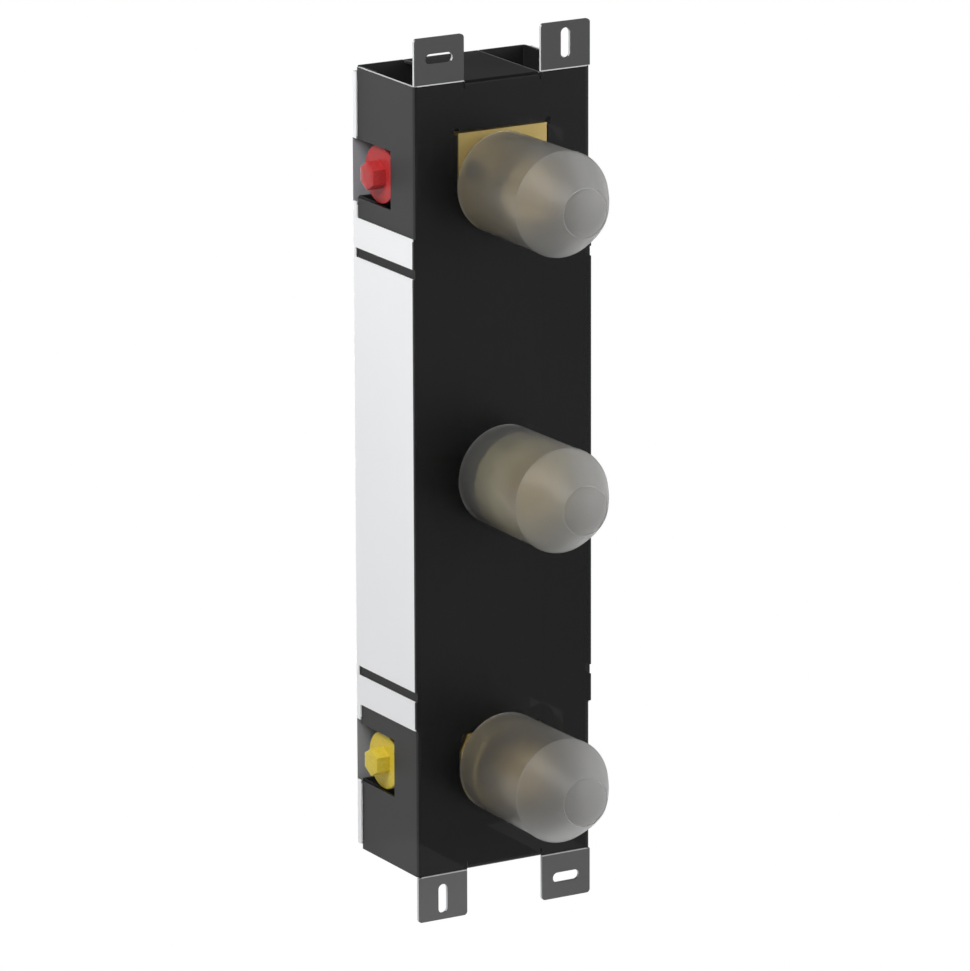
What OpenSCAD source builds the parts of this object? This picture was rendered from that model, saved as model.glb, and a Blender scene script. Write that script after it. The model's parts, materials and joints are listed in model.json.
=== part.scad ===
// Concealed thermostatic shower valve: a folded case built into the wall, with one
// thermostatic mixer and two stop valves behind frosted guard caps.
// X runs to the right, the front faces -Y and Z is up.
// The origin is the middle of the face that lies against the wall.

/* [Case] */
// Width over the side walls
case_w = 134; // [132:1:150]
// Height of the case without its tabs
case_h = 542; // [530:1:600]
// Depth from the front face to the wall face
case_d = 82; // [80:1:95]
// Thickness of the folded sheet
sheet_t = 2; // [1.5:0.1:2.4]
// Inside radius of every fold
fold_r = 0.6; // [0.4:0.1:1]
// Distance that the side walls stop short of the wall face
wall_short = 6; // [5:0.5:12]
// Width of the flap folded back between the two tabs
flap_w = 57; // [40:1:64]
// Width of the relief cut beside each flap
relief_w = 0.8; // [0.5:0.1:1.5]

/* [Fixing tabs] */
// Height of a fixing tab
tab_h = 32; // [28:1:45]
// Corner radius of a fixing tab
tab_r = 2.5; // [1:0.5:6]
// Length of a fixing slot
slot_l = 20.5; // [14:0.5:24]
// Width of a fixing slot
slot_w = 7; // [4:0.5:8]
// Distance of a slot's centre from the root of its tab
slot_rise = 17.5; // [15:0.5:18]

/* [Side notches] */
// Height of the notch round a side port
notch_h = 40; // [38:0.5:50]
// Distance that a notch reaches forward from the rear edge
notch_d = 44; // [39:0.5:49]
// Distance that the notch goes on across the chassis plate
notch_in = 24; // [16:1:28]
// Height that the notch in the tray's rim has more towards the middle
notch_more = 3; // [1:0.5:5]

/* [Rear tray] */
// Thickness of the white tray sheet
tray_t = 1; // [0.8:0.1:1.2]
// Distance that the tray stops short at its top and bottom
tray_short = 3.5; // [1:0.5:8]
// Distance of the tongue's end from the notch beside it
tongue_in = 13.9; // [8:0.1:20]
// Height of the strip cut in the tray side
strip_h = 6.7; // [4:0.1:10]
// Distance of a slot's middle from the tongue's end
strip_in = 23.6; // [18:0.1:40]
// Width of tray left behind each strip
strip_land = 4; // [3:0.5:8]
// Distance that the lips of the front plate stop short of the tongue's ends
lip_short = 1.5; // [0.5:0.1:3]

/* [Chassis] */
// Depth of the chassis side flanges
chassis_flange = 25; // [20:1:40]
// Gap between the chassis and the sheet beside it
chassis_gap = 0.2; // [0.1:0.05:0.4]
// Distance of the tray screws from the middle
tray_screw_x = 45; // [34:1:52]
// Distance of the tray screws from the end of the case
tray_screw_in = 31; // [20:1:35]
// Radius of a tray screw
tray_screw_r = 2; // [1.5:0.1:2.4]
// Length of a tray screw
tray_screw_l = 8; // [6:0.5:12]
// Radius of a body screw
body_screw_r = 2.4; // [2:0.1:2.5]
// Length of a body screw
body_screw_l = 11; // [9:0.5:12]

/* [Valve layout] */
// Distance from an outer valve axis to the end of the case
end_room = 71; // [69:0.5:75]
// Distance that the side ports lie further out than the valve axis
port_out = 2.5; // [0:0.5:4]
// Distance of the port axis from the wall face
port_back = 29.8; // [29:0.2:31]
// Radius of the main casting round a valve axis
casting_r = 21; // [20:0.5:22]
// Distance of the rear of a casting from the wall face
casting_back = 13; // [11:0.5:14]

/* [Brass flanges] */
// Half width of the two flanges in the front plate
flange_half_w = 33.7; // [32.5:0.1:34.5]
// Thickness of a flange
flange_t = 6; // [4:0.5:8]
// Height of the mixer flange above its axis
mixer_flange_top = 36.5; // [34:0.5:40]
// Height of the bottom flange above its axis
stop_flange_top = 23.9; // [22:0.1:28]
// Width of the corner cut of the bottom flange
corner_cut_w = 5.4; // [4:0.1:8]
// Height of the corner cut of the bottom flange
corner_cut_h = 11.5; // [8:0.1:14]
// Gap between a flange and its cut-out
flange_gap = 1.2; // [0.8:0.1:2]

/* [Ports and plugs] */
// Radius of a side port
port_r = 13.15; // [12.5:0.05:13.4]
// Depth of a side port
port_depth = 12; // [10:0.5:14]
// Radius of the barrel that joins the two ports
barrel_r = 17; // [16:0.5:18]
// Radius of the collar at the end of a port
port_collar_r = 18.5; // [18:0.1:19.5]
// Length of the collar at the end of a port
port_collar_l = 13; // [11:0.5:16]
// Radius of a plug's flange
plug_flange_r = 19.8; // [18.5:0.1:19.8]
// Thickness of a plug's flange
plug_flange_t = 3; // [2:0.1:4]
// Gap between a plug's flange and the inner face of the side wall
plug_gap = 1.1; // [0.1:0.1:2]
// Width across the flats of a plug's head
plug_flats = 17; // [15:0.5:22]
// Length of a plug's head
plug_head_l = 9.9; // [6:0.1:12]
// Wall of a plug's hollow shank
plug_wall = 3; // [2:0.5:5]
// Thickness of a plug's seal
plug_seal_t = 1.5; // [1:0.1:2]

/* [Guard caps] */
// Outer radius of a cap at its bead
cap_r = 35.7; // [35:0.1:37]
// Radius that the skirt of a cap loses towards the case
cap_taper = 1.1; // [0.5:0.1:1.5]
// Wall of a cap
cap_wall = 1.5; // [1.2:0.1:2]
// Length of a cap from the case to the end of its bead
cap_straight = 76; // [72:1:90]
// Height of the bead over the skirt
cap_bead = 0.4; // [0.2:0.1:0.5]
// Length of the sloping shoulder of a cap
cap_shoulder = 30; // [26:1:34]
// Outward bow of the shoulder
cap_bow = 0.4; // [0:0.1:1]
// Radius of the round end of a cap
cap_disc_r = 16.8; // [14:0.1:20]
// Rise of the round end
cap_nose = 5.3; // [3:0.1:6]
// Depth of the step around the end
cap_step = 0.6; // [0.2:0.1:1]

/* [Thermostatic cartridge] */
// Radius of the cartridge bore
cartridge_r = 13.5; // [13:0.1:14]
// Radius of the nose that carries the retaining nut
nose_r = 17.5; // [17:0.1:18]
// Length of the mixer nose in front of the plate
mixer_nose = 30; // [24:1:36]
// Radius of the shuttle
shuttle_r = 8.5; // [8:0.1:9]
// Length of the shuttle
shuttle_l = 8; // [7:0.1:8.5]
// Radius of the wax element
wax_r = 4.2; // [3.5:0.1:4.4]
// Radius of the mixer spindle
mixer_spindle_r = 5.5; // [5:0.1:6]
// Distance that the mixer spindle reaches in front of the plate
mixer_spindle_reach = 54; // [50:1:60]
// Distance of the hot gallery from the wall face
hot_back = 51; // [50.5:0.5:52]
// Distance of the cold gallery from the wall face
cold_back = 41; // [40.5:0.5:41.5]
// Distance of the service stops to the side of the axis
stop_side = 21.5; // [20.5:0.5:22]
// Height of the service stops above the axis
stop_up = 10.5; // [9:0.5:11]
// Radius of a service stop
stop_r = 6.5; // [6:0.1:6.8]

/* [Stop valves] */
// Radius of the neck of a stop valve
neck_r = 19; // [17:0.5:20]
// Radius of the headwork bore
headwork_r = 12; // [11.5:0.1:12.5]
// Distance of the headwork seat from the wall face
seat_back = 44; // [43:0.5:45]
// Length of the middle neck in front of the plate
middle_neck = 38; // [32:1:44]
// Length of the bottom neck in front of the plate
bottom_neck = 26; // [20:1:32]
// Width across the flats of a headwork
headwork_flats = 30; // [27:1:32]
// Height of a headwork's hexagon
headwork_hex_h = 6; // [5:0.5:9]
// Radius of a stop spindle
stop_spindle_r = 5; // [4.5:0.1:5.2]
// Distance that a stop spindle reaches in front of its neck
stop_spindle_reach = 24; // [22:1:28]
// Length of the support ring
ring_l = 18.5; // [14:0.5:22]
// Length of the spigot that carries the bottom cap
spigot_l = 16; // [10:0.5:20]
// Radius of the ceramic discs
disc_r = 9.6; // [9:0.1:9.8]
// Thickness of a ceramic disc
disc_t = 3; // [2.5:0.1:3.2]

/* [Pipes] */
// Outer radius of a pipe
pipe_r = 8; // [7:0.1:8.5]
// Wall of a pipe
pipe_wall = 1; // [0.8:0.1:1.5]
// Distance of the feed pipes to the right of the axis
feed_x = 10; // [9:0.5:10.5]
// Distance of the outlet pipe to the left of the axis
outlet_x = 23; // [22.5:0.5:24]
// Distance of the outlet pipe from the wall face
outlet_back = 52; // [51:0.5:54]
// Radius of the drilled water ways
way_r = 5.5; // [4.5:0.1:5.6]
// Distance of a socket's mouth from its valve axis
socket_z = 36; // [34:1:42]
// Depth that a pipe goes into its socket
socket_d = 12; // [10:0.5:12.5]
// Wall of a socket
socket_wall = 3; // [2.5:0.1:3.2]

/* [Hidden] */
$fn = 64;
// One overrun serves all cuts
over = 0.5;
// Running fit between a turning or sliding piece and its bore, on the radius
run_fit = 0.05;
// Gap between pieces of one body that are seated in each other
seat_gap = 0.05;
// Gap between a cap and what it rests against
cap_gap = 0.1;
// Gap between a cap and the ring or spigot inside it
ring_gap = 0.2;
// Width across the flats of a hexagon over its corner radius
hex_ratio = sqrt(3);

cap_base_r = cap_r - cap_taper;
ring_r = cap_base_r - cap_wall - ring_gap;
front_y = -case_d;
wall_end_y = -wall_short;
half_w = case_w / 2;
half_h = case_h / 2;
valve_pitch = half_h - end_room;
fold_out = fold_r + sheet_t;
chassis_half_w = half_w - sheet_t - chassis_gap;
chassis_face_y = -tray_t - sheet_t;
tray_half_w = half_w + tray_t;
tray_half_h = half_h - tray_short;
notch_z = valve_pitch + port_out;
tongue_h = 2 * (notch_z - notch_h / 2 - tongue_in);
strip_z = tongue_h / 2 - strip_in;
tray_screw_z = half_h - tray_screw_in;
port_y = -port_back;
port_face_x = half_w - sheet_t - plug_gap - plug_flange_t - plug_seal_t;
casting_y = -casting_back;
tab_w = half_w - flap_w / 2 - relief_w;
tab_mid = half_w - tab_w / 2;
tab_slit = 0.5;
foot_r = 7;
foot_x = 34;
middle_foot_x = 13;
foot_hole_l = 10;
relief_r = 2.4;
head_share = 0.75;

// Thermostatic cartridge, as distances along Y
nose_y = front_y - mixer_nose;
hot_y = -hot_back;
cold_y = -cold_back;
cartridge_end_y = -18;
sleeve_r = cartridge_r - seat_gap;
sleeve_lip = 1.5;
end_ring_t = 2;
sleeve_port_r = 2.2;
sleeve_ports = 8;
thrust_room = 24;
thrust_y = hot_y - thrust_room;
collar_t = 4;
collar_room = 1;
collar_r = shuttle_r - collar_room;
regulating_l = 8;
regulating_room = 13;
regulating_y = hot_y - regulating_room;
thread_step = 1.5;
thread_r = mixer_spindle_r - thread_step;
spindle_tail = 5;
wax_l = 18;
wax_front_y = (hot_y + cold_y) / 2;
wax_collar_r = 5.4;
wax_collar_t = 1;
wax_pin_r = 1.5;
web_t = 2;
shuttle_wall = 1.6;
shuttle_hole_r = 1;
shuttle_hole_ring = (wax_collar_r + shuttle_r - shuttle_wall) / 2;
shuttle_travel = 1.5;
spring_wire = 0.9;
nut_skirt = 8;
nut_t = 6;
nut_flats = 40;
nut_hole_r = 8;
nut_turned = 1;
spline_teeth = 20;
spline_depth = 0.6;
spline_l = 12;
end_hole_r = 2.1;
end_hole_l = 12;
seal_r = 0.8;
groove_w = 2 * seal_r + 2 * seat_gap;
groove_step = 4.2;
groove_y = [cold_y + groove_step, (cold_y + hot_y) / 2, hot_y - groove_step];

// Service stops and check valves
stop_tail = 4.8;
stop_end_y = port_y + stop_tail;
stop_sunk = 1.5;
stop_head_y = front_y + stop_sunk;
stop_way_r = 3;
stop_bore_r = 2.4;
stop_in_y = port_y;
stop_wall = 3;
check_land = 2.5;
stop_slot_w = 1.6;
stop_slot_d = 2;
tower_r = stop_r + stop_wall;
check_r = 9.5;
check_end_x = stop_side + stop_r + check_land;
check_start_x = port_face_x - port_depth;
filter_t = 3;
filter_rim = 1.2;
filter_hole_r = 0.7;
filter_pitch = 2.4;
check_wall = 2.2;
check_seat_t = 1.5;
check_seat_r = 5;
check_guide_t = 2;
check_guide_hole_r = 1.8;
poppet_r = 6.2;
poppet_t = 1.2;
poppet_stem_r = 1.5;
poppet_travel = 2;
check_spring_wire = 0.5;
check_outer_x = check_start_x - filter_t - 2 * seat_gap;
check_guide_x = check_end_x + poppet_travel + seat_gap;
poppet_face_x = check_outer_x - check_seat_t - run_fit;

// Stop valves, as distances along Y
seat_y = -seat_back;
chamber_r = 7;
chamber_end_y = -24;
seat_seal_t = 3;
seat_seal_bore = 6;
fixed_disc_y = seat_y - seat_seal_t - disc_t;
turning_disc_y = fixed_disc_y - disc_t - run_fit;
drive_t = 3;
drive_y = turning_disc_y - drive_t - run_fit;
disc_room_r = disc_r + run_fit;
annulus_depth = 3;
annulus_l = 8;
window_w = 8;
window_l = 5;
disc_window_r = 3;
disc_window_at = 5;
tang_w = 3;
tang_l = 2;
outlet_y = -outlet_back;
cross_y = turning_disc_y;
drop_x = 20;
drop_r = 5;
drop_wall = 3;
spigot_wall = 2.5;
gallery_big_r = 10.5;
gallery_stop_x = 20;
middle_hole_r = 27;
ring_wall = 2.5;
ring_web = 5;

// Pipes
pipe_fit = seat_gap;
pipe_seal_r = 0.95;
pipe_seal_at = 4;
socket_r = pipe_r + pipe_fit + socket_wall;
pipe_end = socket_z - socket_d + seat_gap;

// Basic shapes

module rod_x(x0, x1, r) {
    translate([min(x0, x1), 0, 0])
        rotate([0, 90, 0])
            cylinder(h = abs(x1 - x0), r = r);
}

module rod_y(y0, y1, r) {
    translate([0, min(y0, y1), 0])
        rotate([-90, 0, 0])
            cylinder(h = abs(y1 - y0), r = r);
}

module rod_z(z0, z1, r) {
    translate([0, 0, min(z0, z1)])
        cylinder(h = abs(z1 - z0), r = r);
}

module tube_y(y0, y1, r_out, r_in) {
    difference() {
        rod_y(y0, y1, r_out);
        rod_y(min(y0, y1) - over, max(y0, y1) + over, r_in);
    }
}

module hex_y(y0, y1, flats) {
    translate([0, min(y0, y1), 0])
        rotate([-90, 0, 0])
            cylinder(h = abs(y1 - y0), r = flats / hex_ratio, $fn = 6);
}

// Lays a drawing of X and Z on a plane and gives it a thickness towards +Y
module plate_xz(y, thick) {
    translate([0, y + thick, 0])
        rotate([90, 0, 0])
            linear_extrude(height = thick)
                children();
}

module box(low, high) {
    translate(low)
        cube(high - low);
}

module on_both_sides() {
    for (side = [-1, 1])
        scale_x(side)
            children();
}

module scale_x(side) {
    if (side < 0)
        mirror([1, 0, 0])
            children();
    else
        children();
}

module flip_z(side) {
    if (side < 0)
        mirror([0, 0, 1])
            children();
    else
        children();
}

// A coil spring along Y from y0 to y1, as one tube of round wire
function coil_point(y0, y1, r, turns, t) =
    [r * cos(360 * turns * t), y0 + (y1 - y0) * t, r * sin(360 * turns * t)];
function coil_out(turns, t) = [cos(360 * turns * t), 0, sin(360 * turns * t)];

module coil_y(y0, y1, r, wire_r, turns) {
    sides = 6;
    rings = turns * 12;
    points = [for (i = [0 : rings]) let (t = i / rings)
        for (j = [0 : sides - 1]) let (a = 360 * j / sides)
            coil_point(y0 + wire_r, y1 - wire_r, r, turns, t)
                + wire_r * cos(a) * coil_out(turns, t) + [0, wire_r * sin(a), 0]];
    walls = [for (i = [0 : rings - 1]) for (j = [0 : sides - 1]) let (k = (j + 1) % sides)
        for (face = [[i * sides + j, i * sides + k, (i + 1) * sides + k],
                     [i * sides + j, (i + 1) * sides + k, (i + 1) * sides + j]]) face];
    first = [for (j = [1 : sides - 2]) [0, j + 1, j]];
    end = rings * sides;
    last = [for (j = [1 : sides - 2]) [end, end + j, end + j + 1]];
    polyhedron(points, concat(walls, first, last));
}

// A ring of round section about the Y axis
module ring_seal_y(y, r, section_r) {
    translate([0, y, 0])
        rotate([-90, 0, 0])
            rotate_extrude()
                translate([r, 0])
                    circle(r = section_r, $fn = 24);
}

module ring_seal_z(z, r, section_r) {
    translate([0, 0, z])
        rotate_extrude()
            translate([r, 0])
                circle(r = section_r, $fn = 24);
}

// A countersunk screw whose head lies in the plane y = 0 of its own frame
module sunk_screw(r, length) {
    rod_y(-length, 0, r);
    sunk_head(r, r * head_share);
}

module sunk_head(r, height) {
    translate([0, -height, 0])
        rotate([-90, 0, 0])
            cylinder(h = height, r1 = r, r2 = 2 * r);
}

// Case

// A sheet folded forward or back at both sides, seen from above
module folded_outline(half, y0, y1, r) {
    translate([-half, y0 + r])
        square([2 * half, y1 - y0 - r]);
    translate([r - half, y0])
        square([2 * (half - r), r]);
    for (side = [-1, 1])
        translate([side * (half - r), y0 + r])
            circle(r = r);
}

module channel(half, y0, y1, thick, inside_r, height) {
    linear_extrude(height = height, center = true)
        difference() {
            folded_outline(half, y0, y1, inside_r + thick);
            folded_outline(half - thick, y0 + thick, y1 + over, inside_r);
        }
}

// Outline of a brass flange: straight top, cut corners and a round lower half
module flange_outline(half, top, cut_w, cut_h) {
    polygon([[-half, 0], [-half, top - cut_h], [cut_w - half, top],
        [half - cut_w, top], [half, top - cut_h], [half, 0]]);
    intersection() {
        circle(r = half);
        translate([-half, -half])
            square([2 * half, half]);
    }
}

module mixer_outline(gap) {
    half = flange_half_w + gap;
    translate([-half, 0])
        square([2 * half, mixer_flange_top + gap]);
    circle(r = half);
}

module stop_outline(gap) {
    flange_outline(flange_half_w + gap, stop_flange_top + gap, corner_cut_w, corner_cut_h);
}

module slot_outline(length, width) {
    square([length - width, width], center = true);
    for (end = [-1, 1])
        translate([end * (length - width) / 2, 0])
            circle(d = width);
}

// A fixing tab at the upper right, with its slot turned to the given angle
module tab_outline(slot_angle) {
    difference() {
        union() {
            translate([half_w - tab_w, half_h - sheet_t])
                square([tab_w - fold_out, tab_h - tab_r + sheet_t]);
            translate([half_w - 2 * fold_out, half_h + tab_slit])
                square([2 * fold_out, tab_h - tab_r - tab_slit]);
            translate([half_w - tab_w + tab_r, half_h + tab_h - 2 * tab_r])
                square([tab_w - 2 * tab_r, 2 * tab_r]);
            for (x = [half_w - tab_w + tab_r, half_w - tab_r])
                translate([x, half_h + tab_h - tab_r])
                    circle(r = tab_r);
        }
        translate([tab_mid, half_h + slot_rise])
            rotate(slot_angle)
                slot_outline(slot_l, slot_w);
    }
}

// The flap seen from the side, with the front face at the left
module flap_outline() {
    run = case_d - tray_t - chassis_gap;
    translate([fold_out, -sheet_t])
        square([run - fold_out, sheet_t]);
    translate([0, -2 * fold_out])
        square([sheet_t, fold_out]);
    intersection() {
        translate([fold_out, -fold_out])
            difference() {
                circle(r = fold_out);
                circle(r = fold_r);
            }
        translate([0, -fold_out])
            square(fold_out);
    }
}

module flap() {
    translate([0, front_y, half_h])
        rotate([90, 0, 90])
            linear_extrude(height = flap_w, center = true)
                flap_outline();
}

// Cuts in the front plate where the valves come through
module front_openings() {
    translate([0, valve_pitch])
        mixer_outline(flange_gap);
    for (side = [-1, 1])
        translate([side * (flange_half_w + flange_gap), valve_pitch + mixer_flange_top + flange_gap])
            circle(r = relief_r);
    circle(r = middle_hole_r);
    translate([0, -valve_pitch])
        stop_outline(flange_gap);
}

module side_notches() {
    for (side = [-1, 1])
        for (z = [-notch_z, notch_z])
            box([side * half_w - notch_in, wall_end_y - notch_d, z - notch_h / 2],
                [side * half_w + notch_in, over, z + notch_h / 2]);
}

module front_case() {
    flap_cut = flap_w / 2 + relief_w;
    color("#1f1f20") {
        difference() {
            union() {
                channel(half_w, front_y, wall_end_y, sheet_t, fold_r, case_h);
                box([-tray_half_w, front_y, lip_short - tongue_h / 2],
                    [tray_half_w, front_y + sheet_t, tongue_h / 2 - lip_short]);
            }
            // The lips open where the strips are cut in the tray
            for (side = [-1, 1])
                flip_z(side)
                    on_both_sides()
                        box([half_w, front_y - over, strip_z - strip_h / 2],
                            [tray_half_w + over, front_y + sheet_t + over,
                                strip_z + strip_h / 2]);
            plate_xz(front_y - over, sheet_t + 2 * over)
                front_openings();
            side_notches();
            for (side = [-1, 1])
                flip_z(side)
                    box([-flap_cut, front_y - over, half_h - 2 * fold_out],
                        [flap_cut, front_y + fold_out + over, half_h + over]);
        }
        for (side = [-1, 1])
            flip_z(side)
                flap();
        plate_xz(front_y, sheet_t) {
            tab_outline(90);
            mirror([1, 0])
                tab_outline(0);
            mirror([0, 1])
                tab_outline(0);
            rotate(180)
                tab_outline(90);
        }
    }
}

module chassis_feet() {
    for (side = [-1, 1]) {
        for (z = [-notch_z, notch_z])
            translate([side * foot_x, 0, z])
                children();
        translate([side * middle_foot_x, 0, 0])
            children();
    }
}

module tray_screw_places() {
    for (x = [-tray_screw_x, tray_screw_x])
        for (z = [-tray_screw_z, tray_screw_z])
            translate([x, 0, z])
                children();
}

module inner_chassis() {
    flap_room = flap_w / 2 + relief_w;
    color("#262628")
        difference() {
            mirror([0, 1, 0])
                channel(chassis_half_w, tray_t, tray_t + chassis_flange, sheet_t, fold_r, case_h);
            side_notches();
            for (side = [-1, 1])
                flip_z(side)
                    box([-flap_room, chassis_face_y - over, half_h - sheet_t - chassis_gap],
                        [flap_room, over, half_h + over]);
            chassis_feet()
                translate([0, -tray_t, 0])
                    sunk_hole(body_screw_r);
            tray_screw_places()
                sunk_hole(tray_screw_r);
        }
}

// The hole that a countersunk screw needs, open at the front and the back
module sunk_hole(r) {
    free_r = r + seat_gap;
    rod_y(-case_d, over, free_r);
    sunk_head(free_r, r * head_share);
}

module rear_tray() {
    color("#f2f3f4")
        difference() {
            mirror([0, 1, 0])
                channel(tray_half_w, 0, case_d - sheet_t - seat_gap, tray_t, fold_r, 2 * tray_half_h);
            // Above and below the tongue only a narrow rim stays
            for (side = [-1, 1])
                flip_z(side)
                    box([-tray_half_w - over, -case_d, tongue_h / 2],
                        [tray_half_w + over, wall_end_y, half_h]);
            for (side = [-1, 1])
                flip_z(side)
                    box([-tray_half_w - over, -case_d, strip_z - strip_h / 2],
                        [tray_half_w + over, -strip_land, strip_z + strip_h / 2]);
            // The rim opens at the side ports, and the back of the tray shows there
            for (end = [-1, 1])
                flip_z(end)
                    for (side = [-1, 1])
                        box([side * tray_half_w - fold_r - tray_t, -case_d,
                                notch_z - notch_h / 2 - notch_more],
                            [side * tray_half_w + fold_r + tray_t, -tray_t,
                                notch_z + notch_h / 2]);
            tray_screw_places()
                sunk_hole(tray_screw_r);
        }
}

module tray_screws() {
    color("#b9bcc0")
        tray_screw_places()
            sunk_screw(tray_screw_r, tray_screw_l);
}

module body_screws() {
    color("#b9bcc0")
        chassis_feet()
            translate([0, -tray_t, 0])
                sunk_screw(body_screw_r, body_screw_l);
}

// Parts that the three castings share

module foot() {
    rod_y(port_y, chassis_face_y, foot_r);
}

module foot_hole() {
    rod_y(chassis_face_y - foot_hole_l, over, body_screw_r + seat_gap);
}

module barrel() {
    translate([0, port_y, port_out]) {
        rod_x(-port_face_x, port_face_x, barrel_r);
        on_both_sides()
            rod_x(port_face_x - port_collar_l, port_face_x, port_collar_r);
    }
}

module port_bores() {
    translate([0, port_y, port_out])
        on_both_sides()
            rod_x(port_face_x - port_depth, port_face_x + over, port_r);
}

module socket(x, y, low = 0) {
    translate([x, y, 0])
        rod_z(low, socket_z, socket_r);
}

// The hole for a pipe end with its seal groove, and the way on to the given height
module socket_hole(x, y, way_end) {
    translate([x, y, 0]) {
        rod_z(socket_z - socket_d, socket_z + over, pipe_r + pipe_fit);
        rod_z(way_end, socket_z, way_r);
        translate([0, 0, socket_z - pipe_seal_at])
            rod_z(-pipe_seal_r - seat_gap, pipe_seal_r + seat_gap,
                pipe_r + 2 * pipe_seal_r + pipe_fit + seat_gap);
    }
}

// Thermostatic mixer

module service_tower() {
    translate([stop_side, 0, stop_up])
        rod_y(front_y + flange_t, port_y, tower_r);
}

module mixer_body() {
    color("#bba264")
        translate([0, 0, valve_pitch])
            difference() {
                union() {
                    plate_xz(front_y, flange_t)
                        mixer_outline(0);
                    rod_y(nose_y, front_y + flange_t, nose_r);
                    rod_y(front_y + flange_t, casting_y, casting_r);
                    barrel();
                    on_both_sides()
                        service_tower();
                    flip_z(-1)
                        socket(feed_x, port_y);
                    for (x = [-foot_x, foot_x])
                        translate([x, 0, port_out])
                            foot();
                }
                rod_y(nose_y - over, cartridge_end_y, cartridge_r);
                port_bores();
                on_both_sides() {
                    translate([0, port_y, port_out])
                        rod_x(check_end_x, port_face_x, check_r + seat_gap);
                    translate([stop_side, 0, stop_up])
                        rod_y(front_y - over, stop_end_y + seat_gap, stop_r + run_fit);
                    translate([0, stop_in_y, stop_up])
                        rod_x(stop_side, check_end_x + over, stop_way_r);
                }
                scale_x(-1)
                    gallery(hot_y);
                gallery(cold_y);
                flip_z(-1)
                    socket_hole(feed_x, port_y, 0);
                for (x = [-foot_x, foot_x])
                    translate([x, 0, port_out])
                        foot_hole();
            }
}

// The way from a service stop into the cartridge bore
module gallery(y) {
    translate([0, y, stop_up])
        rod_x(stop_side, stop_side / 3, stop_way_r);
}

// A turning plug with a hollow middle, an inlet at the side and an outlet at its gallery
module service_stop(side, y) {
    color("#3a3835")
        translate([0, 0, valve_pitch + stop_up])
            scale_x(side)
                translate([stop_side, 0, 0])
                    difference() {
                        rod_y(stop_head_y, stop_end_y, stop_r);
                        rod_y(stop_in_y, y, stop_bore_r);
                        translate([0, stop_in_y, 0])
                            rod_x(-stop_bore_r / 2, stop_r + over, stop_way_r);
                        translate([0, y, 0])
                            rod_x(stop_bore_r / 2, -stop_r - over, stop_way_r);
                        box([-stop_r - over, stop_head_y - over, -stop_slot_w / 2],
                            [stop_r + over, stop_head_y + stop_slot_d, stop_slot_w / 2]);
                    }
}

module hot_service_stop() {
    service_stop(-1, hot_y);
}

module cold_service_stop() {
    service_stop(1, cold_y);
}

// Places a shape drawn for the right port at the given side of the mixer
module at_inlet(side) {
    translate([0, port_y, notch_z])
        scale_x(side)
            children();
}

module filter(side) {
    outer = check_start_x - seat_gap;
    rows = floor((check_r - filter_rim) / filter_pitch);
    color("#d5d7da")
        at_inlet(side)
            difference() {
                rod_x(outer - filter_t, outer, check_r);
                rod_x(outer - filter_t + filter_rim, outer + over, check_r - filter_rim);
                for (row = [-rows : rows])
                    for (column = [-rows : rows])
                        if (norm([row, column]) * filter_pitch < check_r - filter_rim - filter_hole_r)
                            translate([0, row * filter_pitch, column * filter_pitch])
                                rod_x(outer - filter_t - over, outer, filter_hole_r);
            }
}

module hot_filter() {
    filter(-1);
}

module cold_filter() {
    filter(1);
}

module check_body(side) {
    inner_x = check_end_x + seat_gap;
    guide_end = check_guide_x + check_guide_t;
    color("#e9e6dc")
        at_inlet(side)
            difference() {
                rod_x(inner_x, check_outer_x, check_r);
                rod_x(guide_end, check_outer_x - check_seat_t, check_r - check_wall);
                rod_x(inner_x - over, check_guide_x, check_r - check_wall);
                rod_x(check_outer_x - check_seat_t - over, check_outer_x + over, check_seat_r);
                rod_x(inner_x, check_outer_x, poppet_stem_r + run_fit);
                for (angle = [45 : 90 : 315])
                    rotate([angle, 0, 0])
                        translate([0, (check_r - check_wall + poppet_stem_r) / 2, 0])
                            rod_x(inner_x, guide_end + over, check_guide_hole_r);
            }
}

module hot_check_body() {
    check_body(-1);
}

module cold_check_body() {
    check_body(1);
}

module check_poppet(side) {
    color("#2f6fb5")
        at_inlet(side) {
            rod_x(poppet_face_x - poppet_t, poppet_face_x, poppet_r);
            rod_x(check_guide_x, poppet_face_x, poppet_stem_r);
        }
}

module hot_check_poppet() {
    check_poppet(-1);
}

module cold_check_poppet() {
    check_poppet(1);
}

// The spring has the length it has when the valve is wide open
module check_spring(side) {
    low = check_guide_x + check_guide_t + seat_gap;
    high = poppet_face_x - poppet_t - poppet_travel - seat_gap;
    color("#c8cacd")
        at_inlet(side)
            rotate([0, 0, -90])
                coil_y(low, high, 2 * poppet_stem_r, check_spring_wire / 2, 4);
}

module hot_check_spring() {
    check_spring(-1);
}

module cold_check_spring() {
    check_spring(1);
}

module cartridge_sleeve() {
    color("#cdbb86")
        translate([0, 0, valve_pitch])
            difference() {
                union() {
                    rod_y(nose_y - sleeve_lip, cartridge_end_y - seat_gap, sleeve_r);
                    rod_y(nose_y - sleeve_lip, nose_y - seat_gap, nose_r);
                }
                rod_y(thrust_y, cartridge_end_y + over, shuttle_r + run_fit);
                rod_y(nose_y - over - sleeve_lip, thrust_y + over, mixer_spindle_r + run_fit);
                for (y = [hot_y, cold_y, port_y])
                    for (i = [0 : sleeve_ports - 1])
                        translate([0, y, 0])
                            rotate([0, i * 360 / sleeve_ports, 0])
                                rod_x(0, sleeve_r + over, sleeve_port_r);
                for (y = groove_y)
                    tube_y(y - groove_w / 2, y + groove_w / 2, sleeve_r + over,
                        sleeve_r - 2 * seal_r - seat_gap);
            }
}

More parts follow.
